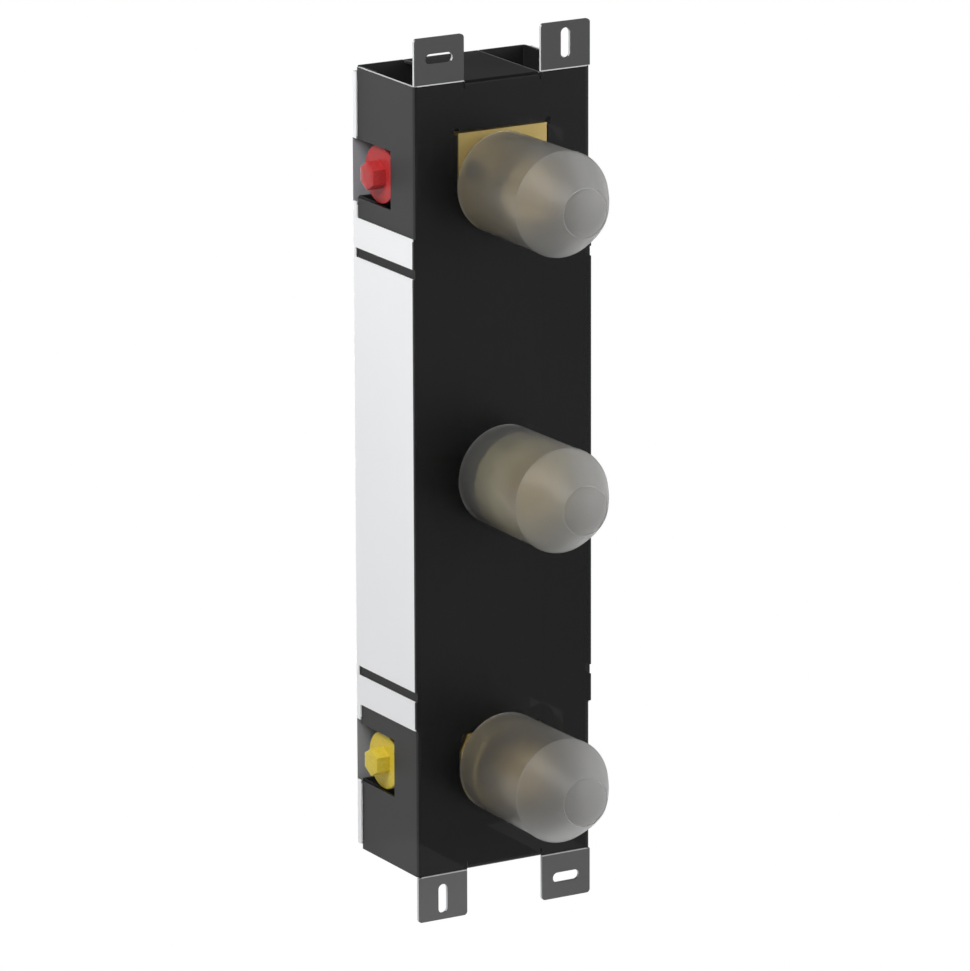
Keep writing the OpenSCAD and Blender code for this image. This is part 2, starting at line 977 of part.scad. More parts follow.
module cartridge_end_ring() {
    color("#9c9da0")
        translate([0, 0, valve_pitch])
            tube_y(cartridge_end_y - seat_gap - end_ring_t, cartridge_end_y - seat_gap,
                shuttle_r, shuttle_r - end_ring_t);
}

module cartridge_seals() {
    color("#1b1b1b")
        translate([0, 0, valve_pitch])
            for (y = groove_y)
                ring_seal_y(y, sleeve_r - seal_r, seal_r);
}

module retaining_nut() {
    face_y = nose_y - sleeve_lip - seat_gap;
    color("#c4ab6b")
        translate([0, 0, valve_pitch])
            difference() {
                intersection() {
                    hex_y(face_y - nut_t, face_y + nut_skirt, nut_flats);
                    // The hexagon is turned down at its corners
                    rod_y(face_y - nut_t, face_y + nut_skirt, nut_flats / hex_ratio - nut_turned);
                }
                rod_y(face_y, face_y + nut_skirt + over, nose_r + seat_gap);
                rod_y(face_y - nut_t - over, face_y + over, nut_hole_r);
            }
}

// Outline of a splined shaft: trapezoid teeth that follow a count and a depth
function spline_point(teeth, r, depth, i) =
    let (step = 90 / teeth, at = i * step, low = (i % 4 < 2) ? depth : 0)
    (r - low) * [cos(at), sin(at)];

module spline_outline(teeth, r, depth) {
    polygon([for (i = [0 : 4 * teeth - 1]) spline_point(teeth, r, depth, i)]);
}

// The front end of a spindle, with its splines and the hole for the handle's screw
module spindle_end(tip_y, r) {
    translate([0, tip_y + spline_l, 0])
        rotate([90, 0, 0])
            linear_extrude(height = spline_l)
                spline_outline(spline_teeth, r - seat_gap, spline_depth);
}

module mixer_spindle() {
    tip_y = front_y - mixer_spindle_reach;
    collar_y = thrust_y + 2 * seat_gap;
    color("#c9b47a")
        translate([0, 0, valve_pitch])
            difference() {
                union() {
                    spindle_end(tip_y, mixer_spindle_r);
                    rod_y(tip_y + spline_l, collar_y, mixer_spindle_r);
                    rod_y(collar_y, collar_y + collar_t, collar_r);
                    rod_y(collar_y + collar_t, regulating_y + spindle_tail, thread_r);
                }
                rod_y(tip_y - over, tip_y + end_hole_l, end_hole_r);
            }
}

module regulating_nut() {
    color("#b99f5e")
        translate([0, 0, valve_pitch])
            difference() {
                rod_y(regulating_y, regulating_y + regulating_l, shuttle_r);
                rod_y(regulating_y - over, regulating_y + spindle_tail + shuttle_travel + 2 * seat_gap,
                    thread_r + run_fit);
                // Flats let water pass along the nut
                for (side = [-1, 1])
                    flip_z(side)
                        box([-shuttle_r, regulating_y - over, shuttle_r - web_t / 2],
                            [shuttle_r, regulating_y + regulating_l + over, shuttle_r + over]);
            }
}

module wax_element() {
    front = wax_front_y;
    color("#b0662f")
        translate([0, 0, valve_pitch]) {
            rod_y(front, front + wax_l, wax_r);
            rod_y(front + web_t / 2 + seat_gap, front + web_t / 2 + wax_collar_t, wax_collar_r);
            rod_y(regulating_y + regulating_l + seat_gap, front, wax_pin_r);
        }
}

module shuttle() {
    mid = wax_front_y;
    color("#d9d9d6")
        translate([0, 0, valve_pitch])
            difference() {
                rod_y(mid - shuttle_l / 2, mid + shuttle_l / 2, shuttle_r);
                rod_y(mid + web_t / 2, mid + shuttle_l, shuttle_r - shuttle_wall);
                rod_y(mid - shuttle_l, mid - web_t / 2, shuttle_r - shuttle_wall);
                rod_y(mid - web_t, mid + web_t, wax_r + seat_gap);
                for (i = [0 : sleeve_ports - 1])
                    rotate([0, i * 360 / sleeve_ports, 0])
                        translate([shuttle_hole_ring, 0, 0])
                            rod_y(mid - web_t, mid + web_t, shuttle_hole_r);
            }
}

module return_spring() {
    low = wax_front_y + shuttle_l / 2 + shuttle_travel + seat_gap;
    high = cartridge_end_y - end_ring_t - 2 * seat_gap;
    color("#c8cacd")
        translate([0, 0, valve_pitch])
            coil_y(low, high, shuttle_r - shuttle_wall / 2 - spring_wire / 2,
                spring_wire / 2, 6);
}

// Stop valves

// The bore for a headwork with the annulus that takes its water away
module headwork_bore(face_y) {
    rod_y(face_y - over, seat_y, headwork_r + seat_gap);
    rod_y(turning_disc_y - annulus_l / 2, turning_disc_y + annulus_l / 2,
        headwork_r + annulus_depth);
    rod_y(seat_y - over, chamber_end_y, chamber_r);
}

module middle_valve_body() {
    face_y = front_y - middle_neck;
    color("#bba264")
        difference() {
            union() {
                rod_y(face_y, casting_y, neck_r);
                rod_y(front_y + 2 * flange_t, casting_y, casting_r);
                for (side = [-1, 1])
                    flip_z(side)
                        socket(feed_x, port_y);
                translate([-outlet_x, outlet_y, 0])
                    rod_z(-socket_z, drop_r + drop_wall, socket_r);
                for (x = [-middle_foot_x, middle_foot_x])
                    translate([x, 0, 0])
                        foot();
            }
            headwork_bore(face_y);
            for (side = [-1, 1])
                flip_z(side)
                    socket_hole(feed_x, port_y, 0);
            flip_z(-1)
                socket_hole(-outlet_x, outlet_y, 0);
            translate([0, cross_y, 0])
                rod_x(-outlet_x, -headwork_r, drop_r);
            for (x = [-middle_foot_x, middle_foot_x])
                translate([x, 0, 0])
                    foot_hole();
        }
}

module bottom_valve_body() {
    face_y = front_y - bottom_neck;
    color("#bba264")
        translate([0, 0, -valve_pitch])
            difference() {
                union() {
                    plate_xz(front_y, flange_t)
                        stop_outline(0);
                    rod_y(face_y, casting_y, neck_r);
                    rod_y(front_y + flange_t, casting_y, casting_r);
                    tube_y(front_y - spigot_l, front_y, ring_r, ring_r - spigot_wall);
                    flip_z(-1)
                        barrel();
                    socket(feed_x, port_y);
                    socket(-outlet_x, outlet_y, -port_out - drop_r - drop_wall);
                    translate([drop_x, 0, -port_out])
                        rod_y(turning_disc_y - drop_r - drop_wall, port_y, drop_r + drop_wall);
                    for (x = [-foot_x, foot_x])
                        translate([x, 0, -port_out])
                            foot();
                }
                headwork_bore(face_y);
                flip_z(-1)
                    port_bores();
                translate([0, port_y, -port_out])
                    on_both_sides()
                        rod_x(gallery_stop_x, port_face_x, gallery_big_r);
                socket_hole(feed_x, port_y, 0);
                socket_hole(-outlet_x, outlet_y, -port_out);
                // The outlet way turns back into the left port, and the stop into the right one
                translate([-outlet_x, 0, -port_out])
                    rod_y(outlet_y, port_y, drop_r);
                translate([drop_x, 0, -port_out])
                    rod_y(turning_disc_y, port_y, drop_r);
                translate([0, turning_disc_y, -port_out])
                    rod_x(headwork_r, drop_x, drop_r);
                for (x = [-foot_x, foot_x])
                    translate([x, 0, -port_out])
                        foot_hole();
            }
}

// A thick ring with a web, which carries the middle cap
module middle_support_ring() {
    y0 = front_y - middle_neck + seat_gap;
    color("#c9b272")
        difference() {
            rod_y(y0, y0 + ring_l, ring_r);
            rod_y(y0 - over, y0 + ring_l + over, neck_r + seat_gap);
            tube_y(y0 + ring_web, y0 + ring_l + over, ring_r - ring_wall,
                neck_r + seat_gap + ring_wall);
        }
}

module headwork(neck) {
    face_y = front_y - neck;
    color("#d1bd84")
        difference() {
            union() {
                rod_y(face_y - seat_gap, seat_y - seat_gap, headwork_r);
                hex_y(face_y - headwork_hex_h, face_y - seat_gap, headwork_flats);
            }
            rod_y(drive_y - run_fit, seat_y + over, disc_room_r);
            rod_y(face_y - headwork_hex_h - over, drive_y + over, stop_spindle_r + run_fit);
            for (angle = [0 : 90 : 270])
                rotate([0, angle, 0])
                    box([0, turning_disc_y - window_l / 2, -window_w / 2],
                        [headwork_r + over, turning_disc_y + window_l / 2, window_w / 2]);
        }
}

module stop_spindle(neck) {
    tip_y = front_y - neck - stop_spindle_reach;
    color("#d8c894")
        difference() {
            union() {
                spindle_end(tip_y, stop_spindle_r);
                rod_y(tip_y + spline_l, drive_y, stop_spindle_r);
                rod_y(drive_y, drive_y + drive_t, disc_r - run_fit);
                // Two tangs turn the upper disc
                for (side = [-1, 1])
                    scale_x(side)
                        box([disc_window_at, drive_y + drive_t, -tang_w / 2],
                            [disc_window_at + tang_l, drive_y + drive_t + disc_t / 3, tang_w / 2]);
            }
            rod_y(tip_y - over, tip_y + end_hole_l, end_hole_r);
        }
}

module disc_windows(y0, y1) {
    for (side = [-1, 1])
        translate([0, 0, side * disc_window_at])
            rod_y(y0 - over, y1 + over, disc_window_r);
}

module turning_disc() {
    y0 = turning_disc_y;
    color("#f0ede6")
        difference() {
            rod_y(y0, y0 + disc_t, disc_r);
            disc_windows(y0, y0 + disc_t);
            for (side = [-1, 1])
                scale_x(side)
                    box([disc_window_at - seat_gap, y0 - over, -tang_w / 2 - seat_gap],
                        [disc_window_at + tang_l + seat_gap, y0 + disc_t / 3 + 2 * seat_gap,
                            tang_w / 2 + seat_gap]);
        }
}

module fixed_disc() {
    y0 = fixed_disc_y;
    color("#e6e2d8")
        difference() {
            rod_y(y0, y0 + disc_t - seat_gap, disc_r);
            disc_windows(y0, y0 + disc_t);
        }
}

module seat_seal() {
    color("#222222")
        tube_y(seat_y - seat_seal_t, seat_y - seat_gap, disc_r, seat_seal_bore);
}

module middle_headwork() {
    headwork(middle_neck);
}

module middle_spindle() {
    stop_spindle(middle_neck);
}

module middle_turning_disc() {
    turning_disc();
}

module middle_fixed_disc() {
    fixed_disc();
}

module middle_seat_seal() {
    seat_seal();
}

module at_bottom() {
    translate([0, 0, -valve_pitch])
        children();
}

module bottom_headwork() {
    at_bottom()
        headwork(bottom_neck);
}

module bottom_spindle() {
    at_bottom()
        stop_spindle(bottom_neck);
}

module bottom_turning_disc() {
    at_bottom()
        turning_disc();
}

module bottom_fixed_disc() {
    at_bottom()
        fixed_disc();
}

module bottom_seat_seal() {
    at_bottom()
        seat_seal();
}

// Pipes

module pipe(x, y, z0, z1) {
    color("#c98a5a")
        translate([x, y, 0])
            difference() {
                rod_z(z0, z1, pipe_r);
                rod_z(z0 - over, z1 + over, pipe_r - pipe_wall);
            }
}

module upper_feed_pipe() {
    pipe(feed_x, port_y, pipe_end, valve_pitch - pipe_end);
}

module lower_feed_pipe() {
    pipe(feed_x, port_y, pipe_end - valve_pitch, -pipe_end);
}

module outlet_pipe() {
    pipe(-outlet_x, outlet_y, pipe_end - valve_pitch, -pipe_end);
}

module pipe_seals() {
    mouth = socket_z - pipe_seal_at;
    color("#1b1b1b") {
        translate([feed_x, port_y, 0])
            for (z = [valve_pitch - mouth, mouth, -mouth, mouth - valve_pitch])
                ring_seal_z(z, pipe_r + pipe_fit + pipe_seal_r, pipe_seal_r);
        translate([-outlet_x, outlet_y, 0])
            for (z = [-mouth, mouth - valve_pitch])
                ring_seal_z(z, pipe_r + pipe_fit + pipe_seal_r, pipe_seal_r);
    }
}

// Port plugs

module plug(side, z) {
    flange_x = port_face_x + plug_seal_t;
    shank_r = port_r - run_fit;
    head_x = flange_x + plug_flange_t;
    translate([0, port_y, z])
        scale_x(side)
            difference() {
                union() {
                    rod_x(flange_x, head_x, plug_flange_r);
                    rod_x(port_face_x - port_depth + over, flange_x, shank_r);
                    translate([head_x, 0, 0])
                        rotate([0, 90, 0])
                            cylinder(h = plug_head_l, r = plug_flats / hex_ratio, $fn = 6);
                }
                rod_x(port_face_x - port_depth, flange_x, shank_r - plug_wall);
            }
}

module hot_plug() {
    color("#b8343a")
        plug(-1, notch_z);
}

module cold_plug() {
    color("#2f5fb0")
        plug(1, notch_z);
}

module left_outlet_plug() {
    color("#d2b23a")
        plug(-1, -notch_z);
}

module right_outlet_plug() {
    color("#d2b23a")
        plug(1, -notch_z);
}

module plug_seals() {
    color("#1b1b1b")
        for (z = [-notch_z, notch_z])
            translate([0, port_y, z])
                on_both_sides()
                    difference() {
                        rod_x(port_face_x + seat_gap, port_face_x + plug_seal_t - seat_gap,
                            port_collar_r - seal_r);
                        rod_x(port_face_x - over, port_face_x + plug_seal_t + over,
                            port_r + seat_gap);
                    }
}

// Guard caps

// Half section of a cap: a tapered skirt with a bead, a bowed shoulder and a round end
function shoulder_points(r, disc_r, start, rise, steps) =
    [for (i = [0 : steps]) let (t = i / steps, bow = 4 * cap_bow * t * (1 - t))
        [r + (disc_r - r) * t + bow, start + rise * t + bow]];

function nose_points(r, start, rise, steps) =
    let (ball = (r * r + rise * rise) / (2 * rise), turn = asin(r / ball))
    [for (i = [steps : -1 : 0])
        [ball * sin(turn * i / steps), start + rise - ball * (1 - cos(turn * i / steps))]];

module cap_section() {
    steps = 8;
    shoulder_z = cap_straight + cap_shoulder;
    inner_disc = cap_disc_r - cap_wall + cap_step;
    inner_z = shoulder_z - cap_wall - cap_step / 2;
    inner_shoulder = shoulder_points(cap_r - cap_wall, inner_disc,
        cap_straight - cap_bead, inner_z - cap_straight + cap_bead, steps);
    inner_nose = nose_points(inner_disc, inner_z,
        shoulder_z - cap_step + cap_nose - cap_wall - inner_z, steps);
    polygon(concat(
        [[cap_base_r - cap_wall, 0], [cap_base_r, 0],
         [cap_r - cap_bead, cap_straight - 5 * cap_bead],
         [cap_r, cap_straight - 4 * cap_bead]],
        shoulder_points(cap_r, cap_disc_r, cap_straight, cap_shoulder, steps),
        nose_points(cap_disc_r - cap_step, shoulder_z - cap_step, cap_nose, steps),
        [for (i = [steps : -1 : 0]) inner_nose[i]],
        [for (i = [steps - 1 : -1 : 0]) inner_shoulder[i]]));
}

module guard_cap(z) {
    color("#a3a4a2")
        translate([0, front_y - cap_gap, z])
            rotate([90, 0, 0])
                rotate_extrude($fn = 96)
                    cap_section();
}

module top_cap() {
    guard_cap(valve_pitch);
}

module middle_cap() {
    guard_cap(0);
}

module bottom_cap() {
    guard_cap(-valve_pitch);
}

front_case();
inner_chassis();
rear_tray();
tray_screws();
body_screws();
mixer_body();
cartridge_sleeve();
cartridge_end_ring();
cartridge_seals();
retaining_nut();
mixer_spindle();
regulating_nut();
wax_element();
shuttle();
return_spring();
hot_service_stop();
cold_service_stop();
hot_filter();
cold_filter();
hot_check_body();
cold_check_body();
hot_check_poppet();
cold_check_poppet();
hot_check_spring();
cold_check_spring();
middle_valve_body();
middle_support_ring();
middle_headwork();
middle_spindle();
middle_turning_disc();
middle_fixed_disc();
middle_seat_seal();
bottom_valve_body();
bottom_headwork();
bottom_spindle();
bottom_turning_disc();
bottom_fixed_disc();
bottom_seat_seal();
upper_feed_pipe();
lower_feed_pipe();
outlet_pipe();
pipe_seals();
hot_plug();
cold_plug();
left_outlet_plug();
right_outlet_plug();
plug_seals();
top_cap();
middle_cap();
bottom_cap();
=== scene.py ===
import json
import math
import bmesh
import bpy
from mathutils import Matrix, Vector


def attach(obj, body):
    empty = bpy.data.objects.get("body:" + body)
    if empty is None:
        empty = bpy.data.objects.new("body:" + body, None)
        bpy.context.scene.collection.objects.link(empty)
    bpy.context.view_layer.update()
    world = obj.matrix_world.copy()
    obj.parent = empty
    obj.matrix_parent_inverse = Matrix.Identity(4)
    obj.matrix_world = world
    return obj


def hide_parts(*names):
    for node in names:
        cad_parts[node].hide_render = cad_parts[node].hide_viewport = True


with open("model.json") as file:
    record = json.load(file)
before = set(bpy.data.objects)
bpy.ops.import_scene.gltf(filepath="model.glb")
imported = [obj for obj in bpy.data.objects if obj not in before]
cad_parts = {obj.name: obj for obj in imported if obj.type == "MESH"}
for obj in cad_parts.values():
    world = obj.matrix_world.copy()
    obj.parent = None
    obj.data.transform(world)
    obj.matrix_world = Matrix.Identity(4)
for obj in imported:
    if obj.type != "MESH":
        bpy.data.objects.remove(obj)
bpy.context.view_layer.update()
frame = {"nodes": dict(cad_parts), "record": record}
nodes = frame["nodes"]
scene = bpy.context.scene
print("frame loaded:", len(nodes), "nodes")

# camera: the photo's own angle, found from the edges and circles in it
cameraValues = {
    "azimuth": -30.26,
    "elevation": 15.10,
    "roll": -0.19,
    "distance": 5.283,
    "target": (-0.0144, -0.082, -0.0054),
    "focalPixels": 7939.0,
    "photoWidth": 970,
    "sensorWidth": 36.0,
    "clip": (0.1, 100.0),
}


def addCamera(v):
    a, e, r = (math.radians(v[k]) for k in ("azimuth", "elevation", "roll"))
    back = Vector((math.sin(a) * math.cos(e), -math.cos(a) * math.cos(e), math.sin(e)))
    right = Vector((math.cos(a), math.sin(a), 0.0))
    up = back.cross(right)
    turnedRight = right * math.cos(r) + up * math.sin(r)
    turnedUp = back.cross(turnedRight)
    data = bpy.data.cameras.new("photoCamera")
    data.sensor_fit = "HORIZONTAL"
    data.sensor_width = v["sensorWidth"]
    data.lens = v["focalPixels"] / v["photoWidth"] * data.sensor_width
    data.clip_start, data.clip_end = v["clip"]
    camera = bpy.data.objects.new("photoCamera", data)
    scene.collection.objects.link(camera)
    spot = Vector(v["target"]) + back * v["distance"]
    turn = Matrix((turnedRight, turnedUp, back)).transposed().to_4x4()
    camera.matrix_world = Matrix.Translation(spot) @ turn
    scene.camera = camera


addCamera(cameraValues)
print("camera placed")

# light: a key from the left, soft lamps from the front, right and back, and a pale surround
lightValues = {
    "keyPower": 23.0, "keySize": 1.0, "keySpot": (-1.0, -0.5, 1.2),
    "frontPower": 22.0, "frontSize": 2.0, "frontSpot": (0.9, -3.2, 1.2),
    "rightPower": 9.0, "rightSize": 0.9, "rightSpot": (1.5, -1.2, 0.6),
    "backPower": 32.0, "backSize": 1.6, "backSpot": (0.4, 2.6, -0.4),
    "aim": (0.0, -0.05, 0.0),
    "ambient": 0.32, "surround": 1.0, "upperSurround": 0.16, "dimFrom": -0.02, "dimTo": 0.10,
}


def addLamp(name, power, size, spot):
    data = bpy.data.lights.new(name, "AREA")
    data.shape = "DISK"
    data.size = size
    data.energy = power
    lamp = bpy.data.objects.new(name, data)
    scene.collection.objects.link(lamp)
    lamp.location = spot
    away = Vector(lightValues["aim"]) - Vector(spot)
    lamp.rotation_euler = away.to_track_quat("-Z", "Y").to_euler()


def isShownRay(tree):  # 1 for camera and transmission rays
    path = tree.nodes.new("ShaderNodeLightPath")
    either = tree.nodes.new("ShaderNodeMath")
    either.operation = "MAXIMUM"
    tree.links.new(path.outputs["Is Camera Ray"], either.inputs[0])
    tree.links.new(path.outputs["Is Transmission Ray"], either.inputs[1])
    return path, either


def addWorld(v):
    world = bpy.data.worlds.new("paleSurround")
    scene.world = world
    world.use_nodes = True
    tree = world.node_tree
    tree.nodes.clear()
    out = tree.nodes.new("ShaderNodeOutputWorld")
    path, seen = isShownRay(tree)
    coords = tree.nodes.new("ShaderNodeTexCoord")
    split = tree.nodes.new("ShaderNodeSeparateXYZ")
    tree.links.new(coords.outputs["Generated"], split.inputs[0])
    height = tree.nodes.new("ShaderNodeMapRange")  # glossy rays meet a dimmer upper half
    height.inputs["From Min"].default_value = v["dimFrom"]
    height.inputs["From Max"].default_value = v["dimTo"]
    height.inputs["To Min"].default_value = v["surround"]
    height.inputs["To Max"].default_value = v["upperSurround"]
    tree.links.new(split.outputs["Z"], height.inputs["Value"])
    glossy = tree.nodes.new("ShaderNodeMix")
    glossy.data_type = "FLOAT"
    glossy.inputs[2].default_value = v["ambient"]
    tree.links.new(path.outputs["Is Glossy Ray"], glossy.inputs[0])
    tree.links.new(height.outputs[0], glossy.inputs[3])
    level = tree.nodes.new("ShaderNodeMix")
    level.data_type = "FLOAT"
    level.inputs[3].default_value = v["surround"]
    tree.links.new(seen.outputs[0], level.inputs[0])
    tree.links.new(glossy.outputs[0], level.inputs[2])
    back = tree.nodes.new("ShaderNodeBackground")
    back.inputs["Color"].default_value = (1, 1, 1, 1)
    tree.links.new(level.outputs[0], back.inputs["Strength"])
    tree.links.new(back.outputs[0], out.inputs[0])


floorValues = {"height": -1.05, "size": 60.0, "color": (0.80, 0.80, 0.80)}


def addFloor(v):
    half = v["size"] / 2
    mesh = bpy.data.meshes.new("paleFloor")
    mesh.from_pydata([(-half, -half, v["height"]), (half, -half, v["height"]),
                      (half, half, v["height"]), (-half, half, v["height"])], [], [(0, 1, 2, 3)])
    floor = bpy.data.objects.new("paleFloor", mesh)
    scene.collection.objects.link(floor)
    mat = bpy.data.materials.new("paleFloor")
    mat.use_nodes = True
    tree = mat.node_tree
    tree.nodes.clear()
    out = tree.nodes.new("ShaderNodeOutputMaterial")
    matte = tree.nodes.new("ShaderNodeBsdfDiffuse")
    matte.inputs["Color"].default_value = (*v["color"], 1)
    white = tree.nodes.new("ShaderNodeEmission")
    mix = tree.nodes.new("ShaderNodeMixShader")
    path, seen = isShownRay(tree)
    also = tree.nodes.new("ShaderNodeMath")
    also.operation = "MAXIMUM"
    tree.links.new(seen.outputs[0], also.inputs[0])
    tree.links.new(path.outputs["Is Glossy Ray"], also.inputs[1])
    tree.links.new(also.outputs[0], mix.inputs[0])
    tree.links.new(matte.outputs[0], mix.inputs[1])
    tree.links.new(white.outputs[0], mix.inputs[2])
    tree.links.new(mix.outputs[0], out.inputs[0])
    mesh.materials.append(mat)


for side in ("key", "front", "right", "back"):
    addLamp(side + "Lamp", *(lightValues[side + kind] for kind in ("Power", "Size", "Spot")))
addWorld(lightValues)
addFloor(floorValues)
scene.view_settings.view_transform = "Standard"
print("light and floor made")


# finishes: each is mottled, with uneven roughness and a fine relief
mottleRange = (0.3, 0.7)  # the part of a noise's values that is used
mottleDetail, grainDetail = 4.0, 2.0
usualIor = 1.45
facingLimit = 0.7


def startFinish(name):
    mat = bpy.data.materials.new(name)
    mat.use_nodes = True
    tree = mat.node_tree
    tree.nodes.clear()
    out = tree.nodes.new("ShaderNodeOutputMaterial")
    shader = tree.nodes.new("ShaderNodeBsdfPrincipled")
    tree.links.new(shader.outputs[0], out.inputs[0])
    coords = tree.nodes.new("ShaderNodeTexCoord")
    return mat, tree, shader, coords


def addNoise(tree, coords, scale, detail, stretch):
    noise = tree.nodes.new("ShaderNodeTexNoise")
    noise.inputs["Scale"].default_value = scale
    noise.inputs["Detail"].default_value = detail
    source = coords.outputs["Object"]
    if stretch:
        mapping = tree.nodes.new("ShaderNodeMapping")
        mapping.inputs["Scale"].default_value = stretch
        tree.links.new(source, mapping.inputs["Vector"])
        source = mapping.outputs[0]
    tree.links.new(source, noise.inputs["Vector"])
    return noise


def spread(tree, source, low, high, fromLow=mottleRange[0], fromHigh=mottleRange[1]):
    span = tree.nodes.new("ShaderNodeMapRange")
    for key, value in (("From Min", fromLow), ("From Max", fromHigh),
                       ("To Min", low), ("To Max", high)):
        span.inputs[key].default_value = value
    tree.links.new(source, span.inputs["Value"])
    return span.outputs[0]


def addBump(tree, shader, source, strength, distance):
    bump = tree.nodes.new("ShaderNodeBump")
    bump.inputs["Strength"].default_value = strength
    bump.inputs["Distance"].default_value = distance
    tree.links.new(source, bump.inputs["Height"])
    tree.links.new(bump.outputs[0], shader.inputs["Normal"])


def tint(tree, source, dark, light):
    ramp = tree.nodes.new("ShaderNodeValToRGB")
    for stop, place, color in zip(ramp.color_ramp.elements, mottleRange, (dark, light)):
        stop.position = place
        stop.color = (*color, 1)
    tree.links.new(source, ramp.inputs[0])
    return ramp.outputs[0]


def plainFinish(name, v):
    mat, tree, shader, coords = startFinish(name)
    mottle = addNoise(tree, coords, v["mottleScale"], mottleDetail, v.get("stretch"))
    color = tint(tree, mottle.outputs[0], v["dark"], v["light"])
    tree.links.new(color, shader.inputs["Base Color"])
    low, high = v["roughness"]
    tree.links.new(spread(tree, mottle.outputs[0], low, high), shader.inputs["Roughness"])
    grain = addNoise(tree, coords, v["grainScale"], grainDetail, v.get("stretch"))
    addBump(tree, shader, grain.outputs[0], v["relief"], v["reliefDepth"])
    shader.inputs["Metallic"].default_value = v.get("metal", 0.0)
    shader.inputs["IOR"].default_value = v.get("ior", usualIor)
    return mat, tree, shader, coords


def compute(tree, kind, a, b=0.0):  # a and b are numbers or sockets
    node = tree.nodes.new("ShaderNodeMath")
    node.operation = kind
    for i, item in enumerate((a, b)):
        if isinstance(item, (int, float)):
            node.inputs[i].default_value = item
        else:
            tree.links.new(item, node.inputs[i])
    return node.outputs[0]


def between(tree, source, low, high):  # 1 where the value lies between the two
    return compute(tree, "MULTIPLY", compute(tree, "GREATER_THAN", source, low),
                   compute(tree, "LESS_THAN", source, high))


def both(tree, first, *others):  # 1 where all the masks are 1
    for other in others:
        first = compute(tree, "MULTIPLY", first, other)
    return first


def layer(tree, below, mask, color):  # the colour over the one below it, where the mask is 1
    mix = tree.nodes.new("ShaderNodeMix")
    mix.data_type = "RGBA"
    tree.links.new(mask, mix.inputs[0])
    for i, item in ((6, below), (7, color)):
        if isinstance(item, tuple):
            mix.inputs[i].default_value = (*item, 1)
        else:
            tree.links.new(item, mix.inputs[i])
    return mix.outputs[2]


def driving(shader, name):  # the socket that gives this value of the shader
    return shader.inputs[name].links[0].from_socket


def splitPlace(tree, coords):
    place = tree.nodes.new("ShaderNodeSeparateXYZ")
    tree.links.new(coords.outputs["Object"], place.inputs[0])
    shape = tree.nodes.new("ShaderNodeNewGeometry")
    facing = tree.nodes.new("ShaderNodeSeparateXYZ")
    tree.links.new(shape.outputs["Normal"], facing.inputs[0])
    return place, facing


sheetValues = {
    "dark": (0.0035, 0.0035, 0.0036), "light": (0.0055, 0.0055, 0.0055),
    "mottleScale": 9.0, "grainScale": 900.0, "relief": 0.15, "reliefDepth": 0.0002,
    "roughness": (0.34, 0.42), "ior": 1.30, "cover": 0.92,
    # painted light: the side walls are painted lighter than the front, a little darker towards the
    # bottom
    "paintedWallLightHigh": (0.030, 0.030, 0.030), "paintedWallLightLow": (0.028, 0.028, 0.028),
    # painted light: the tabs are painted grey for the backdrop shining through the smoked sheet,
    # the lower ones lighter
    "paintedTabLightHigh": (0.064, 0.064, 0.064), "paintedTabLightLow": (0.124, 0.124, 0.124),
    # the edge colour is bare metal on the cut edges and a painted highlight at the tab roots and
    # flap edge; the dark colour after it is a painted shadow line; the flap's share sets the
    # strength of its painted highlight
    "edge": (0.62, 0.63, 0.64), "paintedRootShadow": (0.0008, 0.0008, 0.0008), "flapHighlight": 0.3,
    "caseTop": 0.271, "flapHalf": 0.0285, "wallInside": 0.0649, "sheet": 0.002,
    "tongueEnd": 0.1686, "brightLine": 0.0007, "darkLine": 0.0010, "flapLine": 0.0006,
    "reliefCut": 0.0004, "slack": 0.0001,
}


